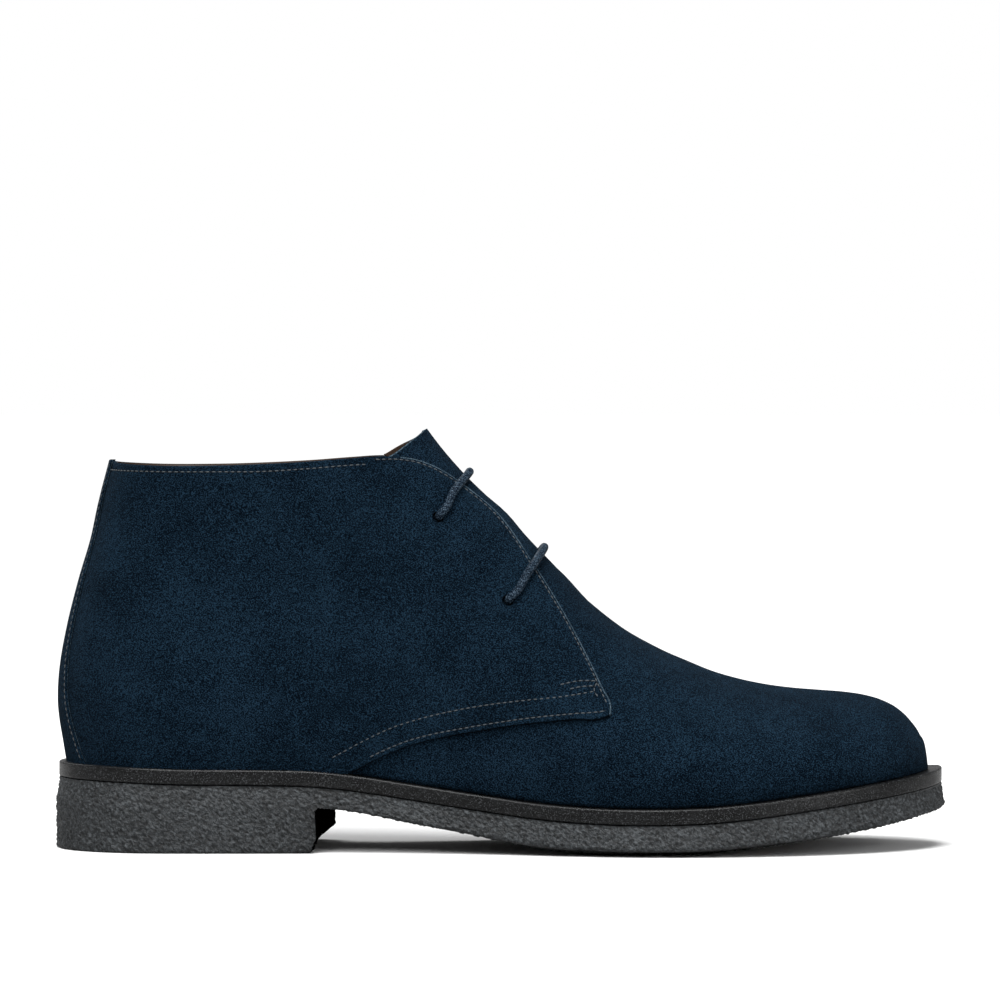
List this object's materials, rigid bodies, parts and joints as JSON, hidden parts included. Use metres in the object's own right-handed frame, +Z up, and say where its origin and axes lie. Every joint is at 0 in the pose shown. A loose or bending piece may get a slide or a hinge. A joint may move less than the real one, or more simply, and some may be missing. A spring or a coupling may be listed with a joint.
{
  "type": "chukka boot",
  "caption": "Right ankle-height chukka boot with a lasted hollow upper, overlapping quarters, straight lace bars, a dark edge strip and a moulded crepe sole with a low heel.",
  "frame": {"origin": "on the floor, under the middle of the boot's bounding box", "axes": "+X from heel to toe, +Y towards the medial (inner) side of the right foot, +Z up"},
  "size_m": [0.302, 0.1056, 0.1417],
  "materials": {
    "crepe_rubber": "matt, pebbled crepe",
    "edge_strip": "smooth, half gloss",
    "lining_leather": "smooth, low sheen",
    "suede": "napped suede, dead matt",
    "lace": "waxed round braid"
  },
  "bodies": {
    "root": {"outsole": "crepe_rubber", "midsole": "edge_strip", "insole": "lining_leather", "upper": "suede", "quarter_outer": "suede", "quarter_inner": "suede", "back_stay": "suede", "lace_bar_upper": "lace", "lace_bar_lower": "lace"}
  },
  "joints": []
}
